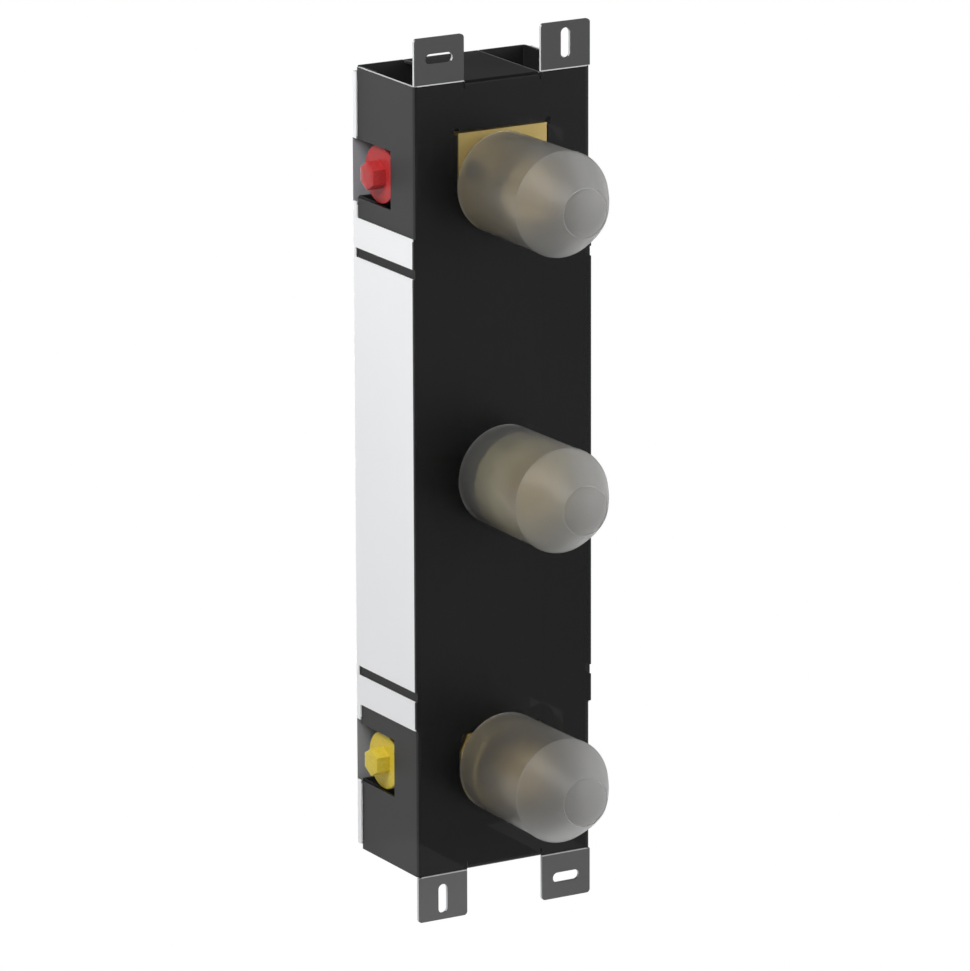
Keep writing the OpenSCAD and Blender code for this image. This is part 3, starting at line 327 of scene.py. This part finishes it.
def caseSheet(name, v):  # smoked walls; sides and tabs painted light, a painted shadow line and highlight at the tab roots, a painted highlight on the flap edge, and cut edges bare metal painted bright
    mat, tree, shader, coords = plainFinish(name, v)
    place, facing = splitPlace(tree, coords)
    outX = compute(tree, "ABSOLUTE", place.outputs["X"])
    outZ = compute(tree, "ABSOLUTE", place.outputs["Z"])
    faceX, faceY, faceZ = (
        compute(tree, "GREATER_THAN", compute(tree, "ABSOLUTE", facing.outputs[axis]), facingLimit)
        for axis in "XYZ")
    top, slack = v["caseTop"], v["slack"]
    besideFlap = compute(tree, "GREATER_THAN", outX, v["flapHalf"] + v["reliefCut"])
    onTab = both(tree, compute(tree, "GREATER_THAN", outZ, top + slack / 5), besideFlap)
    rise = spread(tree, place.outputs["Z"], 0.0, 1.0, -top, top)
    beyondTongue = compute(tree, "GREATER_THAN", outZ, v["tongueEnd"])
    # where the side walls get their painted light
    paintedLitWall = compute(tree, "MULTIPLY", faceX, beyondTongue)
    # painted shadow: a dark line on the front just under each tab's root
    rootShadowMask = both(tree, between(tree, outZ, top - v["darkLine"], top), besideFlap, faceY)
    # painted highlight: a thin light line on the front just over each tab's root
    rootHighlightMask = both(tree, between(tree, outZ, top, top + v["brightLine"]), besideFlap, faceY)
    # the tabs' sides and the walls' tops are cut edges, bare metal painted bright, which also
    # stands in for their highlight
    tabEdge = both(tree, onTab, faceX)
    wallEnd = both(tree, faceZ, compute(tree, "GREATER_THAN", outX, v["wallInside"]),
                   between(tree, outZ, top - slack, top + slack))
    flapEnd = v["flapHalf"]
    # painted highlight along the flap's side edges
    flapHighlight = both(tree, between(tree, outX, flapEnd - v["flapLine"], flapEnd + slack),
                    compute(tree, "GREATER_THAN", outZ, top - v["sheet"]), faceZ)
    edgeAndHighlightMask = compute(tree, "MAXIMUM", tabEdge, compute(tree, "MAXIMUM", wallEnd, rootHighlightMask))
    color = driving(shader, "Base Color")
    # painted light on the side walls, darker towards the bottom
    color = layer(tree, color, paintedLitWall, layer(tree, v["paintedWallLightLow"], rise, v["paintedWallLightHigh"]))
    # painted light on the tabs: grey for the backdrop seen through them
    color = layer(tree, color, onTab, layer(tree, v["paintedTabLightLow"], rise, v["paintedTabLightHigh"]))
    # the painted shadow line under the tab roots
    color = layer(tree, color, rootShadowMask, v["paintedRootShadow"])
    # a faint painted highlight on the flap's edge
    color = layer(tree, color, compute(tree, "MULTIPLY", flapHighlight, v["flapHighlight"]), v["edge"])
    # bare cut edges and painted highlights, in the edge colour
    color = layer(tree, color, edgeAndHighlightMask, v["edge"])
    tree.links.new(color, shader.inputs["Base Color"])
    solid = compute(tree, "MAXIMUM", onTab, edgeAndHighlightMask)
    tree.links.new(spread(tree, solid, v["cover"], 1.0, 0.0, 1.0), shader.inputs["Alpha"])
    return mat


chassisValues = {
    "dark": (0.010, 0.010, 0.0105), "light": (0.016, 0.016, 0.0165), "mottleScale": 12.0,
    "grainScale": 800.0, "relief": 0.15, "reliefDepth": 0.0002, "roughness": (0.38, 0.46),
}
whiteValues = {
    "dark": (0.85, 0.86, 0.872), "light": (0.88, 0.888, 0.90), "mottleScale": 6.0,
    "grainScale": 700.0, "relief": 0.12, "reliefDepth": 0.0003, "roughness": (0.42, 0.5),
    # painted shade: the back's inner face at the port notches is painted darker grey
    "notchShade": (0.36, 0.375, 0.40), "notchLow": 0.1775, "notchHigh": 0.2245, "sideInside": 0.0400,
}


def traySheet(name, v):  # enamelled, with painted shade: the back's inner face is painted darker grey at the port notches
    mat, tree, shader, coords = plainFinish(name, v)
    place, facing = splitPlace(tree, coords)
    outX = compute(tree, "ABSOLUTE", place.outputs["X"])
    outZ = compute(tree, "ABSOLUTE", place.outputs["Z"])
    atNotch = both(tree, between(tree, outZ, v["notchLow"], v["notchHigh"]),
                   compute(tree, "GREATER_THAN", outX, v["sideInside"]),
                   compute(tree, "LESS_THAN", facing.outputs["Y"], -facingLimit))
    # painted shade at the notches
    color = layer(tree, driving(shader, "Base Color"), atNotch, v["notchShade"])
    tree.links.new(color, shader.inputs["Base Color"])
    return mat


castValues = {
    "dark": (0.385, 0.290, 0.108), "light": (0.485, 0.378, 0.158), "mottleScale": 40.0,
    "grainScale": 1400.0, "relief": 0.35, "reliefDepth": 0.0003,
    "roughness": (0.54, 0.64), "metal": 1.0,
}
turnedValues = {
    "dark": (0.49, 0.375, 0.178), "light": (0.585, 0.46, 0.235), "mottleScale": 30.0,
    "grainScale": 500.0, "relief": 0.2, "reliefDepth": 0.0001,
    "roughness": (0.24, 0.34), "metal": 1.0, "stretch": (1.0, 12.0, 1.0),
}
satinValues = {
    "dark": (0.46, 0.40, 0.225), "light": (0.55, 0.48, 0.28), "mottleScale": 30.0,
    "grainScale": 500.0, "relief": 0.2, "reliefDepth": 0.0001,
    "roughness": (0.5, 0.6), "metal": 0.5,
}
steelValues = {
    "dark": (0.52, 0.53, 0.56), "light": (0.66, 0.67, 0.69), "mottleScale": 60.0,
    "grainScale": 900.0, "relief": 0.15, "reliefDepth": 0.0001,
    "roughness": (0.28, 0.4), "metal": 1.0,
}
copperValues = {
    "dark": (0.60, 0.26, 0.12), "light": (0.74, 0.36, 0.18), "mottleScale": 25.0,
    "grainScale": 600.0, "relief": 0.15, "reliefDepth": 0.0001,
    "roughness": (0.26, 0.4), "metal": 1.0, "stretch": (1.0, 1.0, 0.08),
}
rubberValues = {
    "dark": (0.012, 0.012, 0.012), "light": (0.022, 0.022, 0.022), "mottleScale": 80.0,
    "grainScale": 1500.0, "relief": 0.2, "reliefDepth": 0.0001, "roughness": (0.55, 0.7),
}
ceramicValues = {
    "dark": (0.78, 0.76, 0.71), "light": (0.86, 0.84, 0.80), "mottleScale": 50.0,
    "grainScale": 1200.0, "relief": 0.05, "reliefDepth": 0.0001, "roughness": (0.12, 0.2),
}
plasticValues = {
    "whitePlastic": {"dark": (0.70, 0.69, 0.64), "light": (0.80, 0.79, 0.75)},
    "darkPlastic": {"dark": (0.022, 0.020, 0.018), "light": (0.036, 0.034, 0.030)},
    "bluePlastic": {"dark": (0.03, 0.12, 0.42), "light": (0.05, 0.17, 0.52)},
    "redPlastic": {"dark": (0.36, 0.017, 0.019), "light": (0.46, 0.031, 0.033)},
    "yellowPlastic": {"dark": (0.62, 0.47, 0.030), "light": (0.71, 0.55, 0.055)},
}
plasticShared = {
    "mottleScale": 420.0, "grainScale": 1300.0, "relief": 0.25, "reliefDepth": 0.0002,
    "roughness": (0.42, 0.55),
}
frostValues = {
    "dark": (0.60, 0.60, 0.59), "light": (0.64, 0.64, 0.63), "mottleScale": 30.0,
    "grainScale": 1600.0, "relief": 0.10, "reliefDepth": 0.0001, "roughness": (0.30, 0.33),
    "ior": 1.33, "clear": 0.95, "skirtEnd": -0.158, "endColor": (0.69, 0.69, 0.69),
    "endRoughness": 0.51,
}


def frostedCap(name, v):  # the rounded end is frosted more than the skirt
    mat, tree, shader, coords = plainFinish(name, v)
    shader.inputs["Transmission Weight"].default_value = v["clear"]
    place = splitPlace(tree, coords)[0]
    onEnd = compute(tree, "LESS_THAN", place.outputs["Y"], v["skirtEnd"])
    color = layer(tree, driving(shader, "Base Color"), onEnd, v["endColor"])
    tree.links.new(color, shader.inputs["Base Color"])
    more = compute(tree, "MULTIPLY", onEnd, v["endRoughness"])
    rough = compute(tree, "MAXIMUM", driving(shader, "Roughness"), more)
    tree.links.new(rough, shader.inputs["Roughness"])
    return mat


finishes = {
    "black_sheet": plainFinish("chassisSheet", chassisValues)[0],
    # the front case's sheet, with painted light on its walls, tabs and edges
    "case_painted_light": caseSheet("caseSheet", sheetValues),
    "white_sheet": traySheet("whiteEnamel", whiteValues),
    "cast_brass": plainFinish("castBrass", castValues)[0],
    "turned_brass": plainFinish("turnedBrass", turnedValues)[0],
    "satin_brass": plainFinish("satinBrass", satinValues)[0],
    "zinc_steel": plainFinish("zincSteel", steelValues)[0],
    "spring_steel": plainFinish("springSteel", steelValues)[0],
    "black_rubber": plainFinish("blackRubber", rubberValues)[0],
    "ceramic": plainFinish("ceramic", ceramicValues)[0],
    "copper": plainFinish("copper", copperValues)[0],
    "frosted_plastic": frostedCap("frostedPlastic", frostValues),
}
for name, slotName in (("whitePlastic", "white_plastic"), ("darkPlastic", "dark_plastic"),
                       ("bluePlastic", "blue_plastic"), ("redPlastic", "red_plastic"),
                       ("yellowPlastic", "yellow_plastic")):
    finishes[slotName] = plainFinish(name, {**plasticShared, **plasticValues[name]})[0]

slotOfNode = {s["node"]: s["material_slot"] for s in frame["record"]["subparts"]}
ownFinish = {"front_case": "case_painted_light", "middle_support_ring": "satin_brass"}
for nodeName, item in nodes.items():
    finish = finishes[ownFinish.get(nodeName, slotOfNode[nodeName])]
    if not item.material_slots:
        item.data.materials.append(finish)
    for place in item.material_slots:
        place.material = finish
print("finishes given:", len(finishes))


# Geometry Nodes: each tree ends in Realize Instances and Set Material
def startTree(name, inputs):
    tree = bpy.data.node_groups.new(name, "GeometryNodeTree")
    tree.interface.new_socket("Geometry", in_out="INPUT", socket_type="NodeSocketGeometry")
    sockets = {}
    for label, kind in (*inputs, ("Finish", "NodeSocketMaterial")):
        made = tree.interface.new_socket(label, in_out="INPUT", socket_type=kind)
        sockets[label] = made.identifier
    tree.interface.new_socket("Geometry", in_out="OUTPUT", socket_type="NodeSocketGeometry")
    return tree, sockets, tree.nodes.new("NodeGroupInput")


def endTree(tree, start, result):
    real = tree.nodes.new("GeometryNodeRealizeInstances")
    coat = tree.nodes.new("GeometryNodeSetMaterial")
    end = tree.nodes.new("NodeGroupOutput")
    tree.links.new(result, real.inputs["Geometry"])
    tree.links.new(real.outputs[0], coat.inputs["Geometry"])
    tree.links.new(start.outputs["Finish"], coat.inputs["Material"])
    tree.links.new(coat.outputs[0], end.inputs[0])


def addNode(tree, kind, inputs=None, **settings):  # inputs are numbers, vectors or sockets
    node = tree.nodes.new(kind)
    for key, value in settings.items():
        setattr(node, key, value)
    for key, value in (inputs or {}).items():
        if isinstance(value, bpy.types.NodeSocket):
            tree.links.new(value, node.inputs[key])
        else:
            node.inputs[key].default_value = value
    return node


def growPiece(name, places, made, values, body, slotName, *replaced):
    tree, sockets = made
    seed = bpy.data.meshes.new(name + "Places")
    seed.from_pydata(places, [], [])
    source = bpy.data.objects.new(name + "Places", seed)
    scene.collection.objects.link(source)
    grower = source.modifiers.new("grow", "NODES")
    grower.node_group = tree
    for label, value in {**values, "Finish": finishes[slotName]}.items():
        grower[sockets[label]] = value
    source.update_tag()
    done = source.evaluated_get(bpy.context.evaluated_depsgraph_get())
    mesh = bpy.data.meshes.new_from_object(done)
    bpy.data.objects.remove(source)
    settle(name, mesh, body, slotName, *replaced)


def settle(name, mesh, body, slotName, *replaced):  # the finished mesh rides on its body
    mesh.name = name
    piece = bpy.data.objects.new(name, mesh)
    scene.collection.objects.link(piece)
    if not mesh.materials:
        mesh.materials.append(finishes[slotName])
    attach(piece, body)
    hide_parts(*replaced)


# springs: round wire, wound along Z and then turned into place
stepsPerTurn = 24
wireSides = 10
springValues = {
    "returnSpring": {"node": "return_spring", "Coil Radius": 0.00725, "Wire Radius": 0.00045,
                     "Height": 0.01933, "Turns": 6.0, "Place": (0.0, -0.03994, 0.2),
                     "Turn": (-math.pi / 2, 0.0, 0.0)},
    "hotCheckSpring": {"node": "hot_check_spring", "Coil Radius": 0.003, "Wire Radius": 0.00025,
                       "Height": 0.00434, "Turns": 4.0, "Place": (-0.03922, -0.0298, 0.2025),
                       "Turn": (0.0, math.pi / 2, 0.0)},
    "coldCheckSpring": {"node": "cold_check_spring", "Coil Radius": 0.003, "Wire Radius": 0.00025,
                        "Height": 0.00434, "Turns": 4.0, "Place": (0.03488, -0.0298, 0.2025),
                        "Turn": (0.0, math.pi / 2, 0.0)},
}


def makeSpringTree():
    number, vector = "NodeSocketFloat", "NodeSocketVector"
    tree, sockets, start = startTree("woundSpring", [
        ("Coil Radius", number), ("Wire Radius", number), ("Height", number), ("Turns", number),
        ("Place", vector), ("Turn", vector)])
    get = start.outputs
    helix = addNode(tree, "GeometryNodeCurveSpiral", {
        "Resolution": stepsPerTurn, "Rotations": get["Turns"], "Start Radius": get["Coil Radius"],
        "End Radius": get["Coil Radius"], "Height": get["Height"]})
    wire = addNode(tree, "GeometryNodeCurvePrimitiveCircle", {
        "Resolution": wireSides, "Radius": get["Wire Radius"]})
    tube = addNode(tree, "GeometryNodeCurveToMesh", {
        "Curve": helix.outputs[0], "Profile Curve": wire.outputs[0], "Fill Caps": True})
    smooth = addNode(tree, "GeometryNodeSetShadeSmooth", {"Geometry": tube.outputs[0]})
    placed = addNode(tree, "GeometryNodeTransform", {
        "Geometry": smooth.outputs[0], "Translation": get["Place"], "Rotation": get["Turn"]})
    endTree(tree, start, placed.outputs[0])
    return tree, sockets


springTree = makeSpringTree()
for name, values in springValues.items():
    node = values.pop("node")
    growPiece(name, [(0, 0, 0)], springTree, values, "valve_unit", "spring_steel", node)
print("springs wound:", len(springValues))

# screws: countersunk, with a hexagon socket and a thread, one instance at each place
screwValues = {
    "trayScrews": {"node": "tray_screws", "Radius": 0.002, "Length": 0.008, "Head Height": 0.0015,
                   "Pitch": 0.0007, "places": [(x, 0.0, z) for x in (-0.045, 0.045)
                                               for z in (-0.240, 0.240)]},
    "bodyScrews": {"node": "body_screws", "Radius": 0.0024, "Length": 0.011, "Head Height": 0.0018,
                   "Pitch": 0.0008, "places": [(x, -0.001, z) for x in (-0.034, 0.034)
                                               for z in (-0.2025, 0.2025)]
                   + [(-0.013, -0.001, 0.0), (0.013, -0.001, 0.0)]},
}
screwShape = {  # shares of the radius, the length or the head's height, then counts
    "head": 2.0, "core": 0.82, "coreLength": 0.96, "coreMiddle": -0.52,
    "socket": 0.85, "socketDepth": 1.3, "threadRun": 0.72, "threadPath": 0.83,
    "threadStart": -0.95, "ridge": 0.15,
    "headSides": 36, "coreSides": 24, "socketSides": 6, "ridgeSides": 4, "seed": 4,
}


def makeScrewTree(s):
    number = "NodeSocketFloat"
    tree, sockets, start = startTree("sunkScrews", [
        ("Radius", number), ("Length", number), ("Head Height", number), ("Pitch", number)])
    get = start.outputs

    def times(a, b):
        return addNode(tree, "ShaderNodeMath", {0: a, 1: b}, operation="MULTIPLY").outputs[0]

    def upBy(value):
        return addNode(tree, "ShaderNodeCombineXYZ", {"Z": value}).outputs[0]

    head = addNode(tree, "GeometryNodeMeshCone", {
        "Vertices": s["headSides"], "Radius Bottom": get["Radius"],
        "Radius Top": times(get["Radius"], s["head"]), "Depth": get["Head Height"]})
    sunk = addNode(tree, "GeometryNodeTransform", {
        "Geometry": head.outputs[0], "Translation": upBy(times(get["Head Height"], -1.0))})
    core = addNode(tree, "GeometryNodeMeshCylinder", {
        "Vertices": s["coreSides"], "Radius": times(get["Radius"], s["core"]),
        "Depth": times(get["Length"], s["coreLength"])})
    hung = addNode(tree, "GeometryNodeTransform", {
        "Geometry": core.outputs["Mesh"],
        "Translation": upBy(times(get["Length"], s["coreMiddle"]))})
    whole = addNode(tree, "GeometryNodeMeshBoolean", operation="UNION", solver="EXACT")
    for part in (sunk, hung):
        tree.links.new(part.outputs[0], whole.inputs["Mesh 2"])
    key = addNode(tree, "GeometryNodeMeshCylinder", {
        "Vertices": s["socketSides"], "Radius": times(get["Radius"], s["socket"]),
        "Depth": times(get["Head Height"], s["socketDepth"])})
    socketed = addNode(tree, "GeometryNodeMeshBoolean", operation="DIFFERENCE", solver="EXACT")
    tree.links.new(whole.outputs["Mesh"], socketed.inputs["Mesh 1"])
    tree.links.new(key.outputs["Mesh"], socketed.inputs["Mesh 2"])
    run = times(get["Length"], s["threadRun"])
    path = times(get["Radius"], s["threadPath"])
    turns = addNode(tree, "ShaderNodeMath", {0: run, 1: get["Pitch"]}, operation="DIVIDE")
    helix = addNode(tree, "GeometryNodeCurveSpiral", {
        "Resolution": stepsPerTurn, "Rotations": turns.outputs[0], "Start Radius": path,
        "End Radius": path, "Height": run})
    ridge = addNode(tree, "GeometryNodeCurvePrimitiveCircle", {
        "Resolution": s["ridgeSides"], "Radius": times(get["Radius"], s["ridge"])})
    thread = addNode(tree, "GeometryNodeCurveToMesh", {
        "Curve": helix.outputs[0], "Profile Curve": ridge.outputs[0], "Fill Caps": True})
    wound = addNode(tree, "GeometryNodeTransform", {
        "Geometry": thread.outputs[0],
        "Translation": upBy(times(get["Length"], s["threadStart"]))})
    screw = addNode(tree, "GeometryNodeJoinGeometry")
    for part in (wound.outputs[0], socketed.outputs["Mesh"]):
        tree.links.new(part, screw.inputs[0])
    facing = addNode(tree, "GeometryNodeTransform", {
        "Geometry": screw.outputs[0], "Rotation": (-math.pi / 2, 0.0, 0.0)})
    spots = addNode(tree, "GeometryNodeInstanceOnPoints", {
        "Points": get["Geometry"], "Instance": facing.outputs[0]})
    angle = addNode(tree, "FunctionNodeRandomValue", {"Seed": s["seed"]}, data_type="FLOAT")
    angle.inputs[3].default_value = 2 * math.pi / s["socketSides"]
    spin = addNode(tree, "ShaderNodeCombineXYZ", {"Y": angle.outputs[1]})
    turned = addNode(tree, "GeometryNodeRotateInstances", {
        "Instances": spots.outputs[0], "Rotation": spin.outputs[0], "Local Space": True})
    endTree(tree, start, turned.outputs[0])
    return tree, sockets


screwTree = makeScrewTree(screwShape)
for name, values in screwValues.items():
    node, places = values.pop("node"), values.pop("places")
    growPiece(name, places, screwTree, values, "valve_unit", "zinc_steel", node)
    print(name, "set:", len(places))

# port plugs: threaded shank, round flange and hexagon head, from rings about the port's axis
plugValues = {
    "axisY": -0.0298, "portZ": 0.2025, "innerEnd": 0.0479, "portFace": 0.0594,
    "shoulder": 0.0609, "flange": 0.0030, "flangeRadius": 0.0198, "edgeRound": 0.0006,
    "shankRadius": 0.0131, "bore": 0.0101, "pitch": 0.00181, "threadDepth": 0.0009,
    "neck": 0.0121, "headLength": 0.0099, "flats": 0.017, "headBevel": 0.0006, "around": 96,
    "threadIn": 0.0004, "threadOut": 0.0006, "neckIn": 0.0003, "ringsPerPitch": 10,
    "flankSlope": 1.6, "shoulderRing": 0.5, "frontRing": 0.68, "topRing": 0.4, "bevelStep": 0.3,
    "backSteps": 4, "frontSteps": 3, "sharpAngle": 32.0,
}
plugs = {  # node, slot, side (1 is the right), end (1 is the upper)
    "hotPlug": ("hot_plug", "red_plastic", -1, 1), "coldPlug": ("cold_plug", "blue_plastic", 1, 1),
    "leftOutletPlug": ("left_outlet_plug", "yellow_plastic", -1, -1),
    "rightOutletPlug": ("right_outlet_plug", "yellow_plastic", 1, -1),
}


def plugRings(v):  # each ring: place along the axis, and its radius at each angle
    def disc(r):
        return lambda angle: r

    def hexagon(flats):
        step = math.pi / 3
        return lambda angle: flats / 2 / math.cos(angle % step - step / 2)

    def threaded(x, deep):
        def radius(angle):
            phase = (x / v["pitch"] + angle / (2 * math.pi)) % 1.0
            return v["shankRadius"] - deep * min(1.0, v["flankSlope"] * abs(2 * phase - 1.0))
        return radius

    edge, bore, inner, shoulder = v["edgeRound"], v["bore"], v["innerEnd"], v["shoulder"]
    rings = [(shoulder, disc(bore * v["shoulderRing"])), (shoulder, disc(bore)),
             (inner + edge, disc(bore)), (inner, disc(bore + edge)),
             (inner, disc(v["neck"] - edge))]
    first, last = inner + v["threadIn"], v["portFace"] - v["threadOut"]
    steps = round((last - first) / v["pitch"] * v["ringsPerPitch"])
    for i in range(steps + 1):
        x = first + (last - first) * i / steps
        rings.append((x, threaded(x, v["threadDepth"])))
    front = shoulder + v["flange"]
    top = front + v["headLength"]
    rim = v["flangeRadius"] - edge
    rings += [(v["portFace"] - v["neckIn"], disc(v["neck"])), (shoulder, disc(v["neck"])),
              (shoulder, disc(rim))]
    for i in range(1, v["backSteps"] + 1):
        turn = math.pi / 2 * i / v["backSteps"]
        rings.append((shoulder + edge - edge * math.cos(turn), disc(rim + edge * math.sin(turn))))
    for i in range(v["frontSteps"] + 1):
        turn = math.pi / 2 * i / v["frontSteps"]
        rings.append((front - edge + edge * math.sin(turn), disc(rim + edge * math.cos(turn))))
    bevel, flats = v["headBevel"], v["flats"]
    step = bevel * v["bevelStep"]
    rings += [(front, disc(flats * v["frontRing"])), (front, hexagon(flats)),
              (top - bevel, hexagon(flats)), (top - step, hexagon(flats - 2 * step)),
              (top, hexagon(flats - 2 * bevel)), (top, hexagon(flats * v["topRing"]))]
    return rings


def makePlug(name, v, node, slotName, side, end):
    shape = bmesh.new()
    rings = plugRings(v)
    loops = []
    for x, radius in rings:
        loop = []
        for i in range(v["around"]):
            angle = 2 * math.pi * i / v["around"]
            r = radius(angle)
            loop.append(shape.verts.new((side * x, v["axisY"] + r * math.sin(angle),
                                         end * v["portZ"] + r * math.cos(angle))))
        loops.append(loop)
    for below, above in zip(loops, loops[1:]):
        for i in range(v["around"]):
            k = (i + 1) % v["around"]
            shape.faces.new((below[i], below[k], above[k], above[i]))
    for x, loop in ((rings[0][0], loops[0]), (rings[-1][0], loops[-1])):
        middle = shape.verts.new((side * x, v["axisY"], end * v["portZ"]))
        for i in range(v["around"]):
            shape.faces.new((loop[i], loop[(i + 1) % v["around"]], middle))
    bmesh.ops.recalc_face_normals(shape, faces=shape.faces)
    mesh = bpy.data.meshes.new(name)
    shape.to_mesh(mesh)
    shape.free()
    mesh.shade_smooth()
    mesh.set_sharp_from_angle(angle=math.radians(v["sharpAngle"]))
    settle(name, mesh, node, slotName, node)


for name, place in plugs.items():
    makePlug(name, plugValues, *place)
print("plugs made:", len(plugs))
